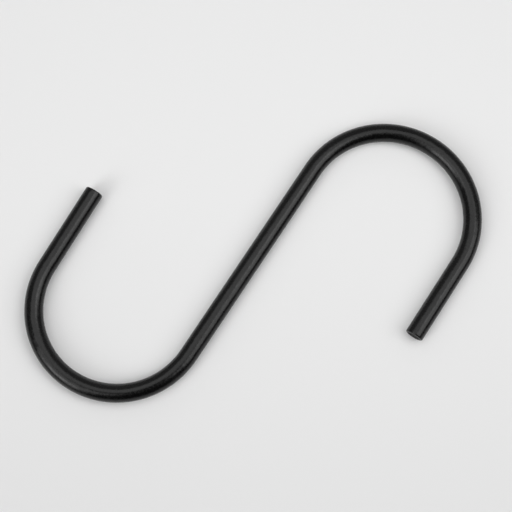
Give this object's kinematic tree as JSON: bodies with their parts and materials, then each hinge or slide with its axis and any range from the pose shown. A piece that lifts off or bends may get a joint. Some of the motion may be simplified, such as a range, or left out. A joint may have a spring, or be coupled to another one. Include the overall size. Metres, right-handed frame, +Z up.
{
  "type": "s hook",
  "caption": "S-shaped hook bent from one round rod, with a wide open hook at each end for hanging one thing from another.",
  "frame": {"origin": "under the middle of the outline, on the plane that the hook lies on", "axes": "The hook lies flat: the S is in the XY plane, +Y runs along the straight shank towards the upper hook, the upper hook opens towards -Y on the +X side, the lower hook opens towards +Y on the -X side, and +Z is up."},
  "size_m": [0.1174, 0.1336, 0.006],
  "materials": {
    "black_coat": "satin black powder coat over steel rod"
  },
  "bodies": {
    "root": {"hook": "black_coat"}
  },
  "joints": []
}
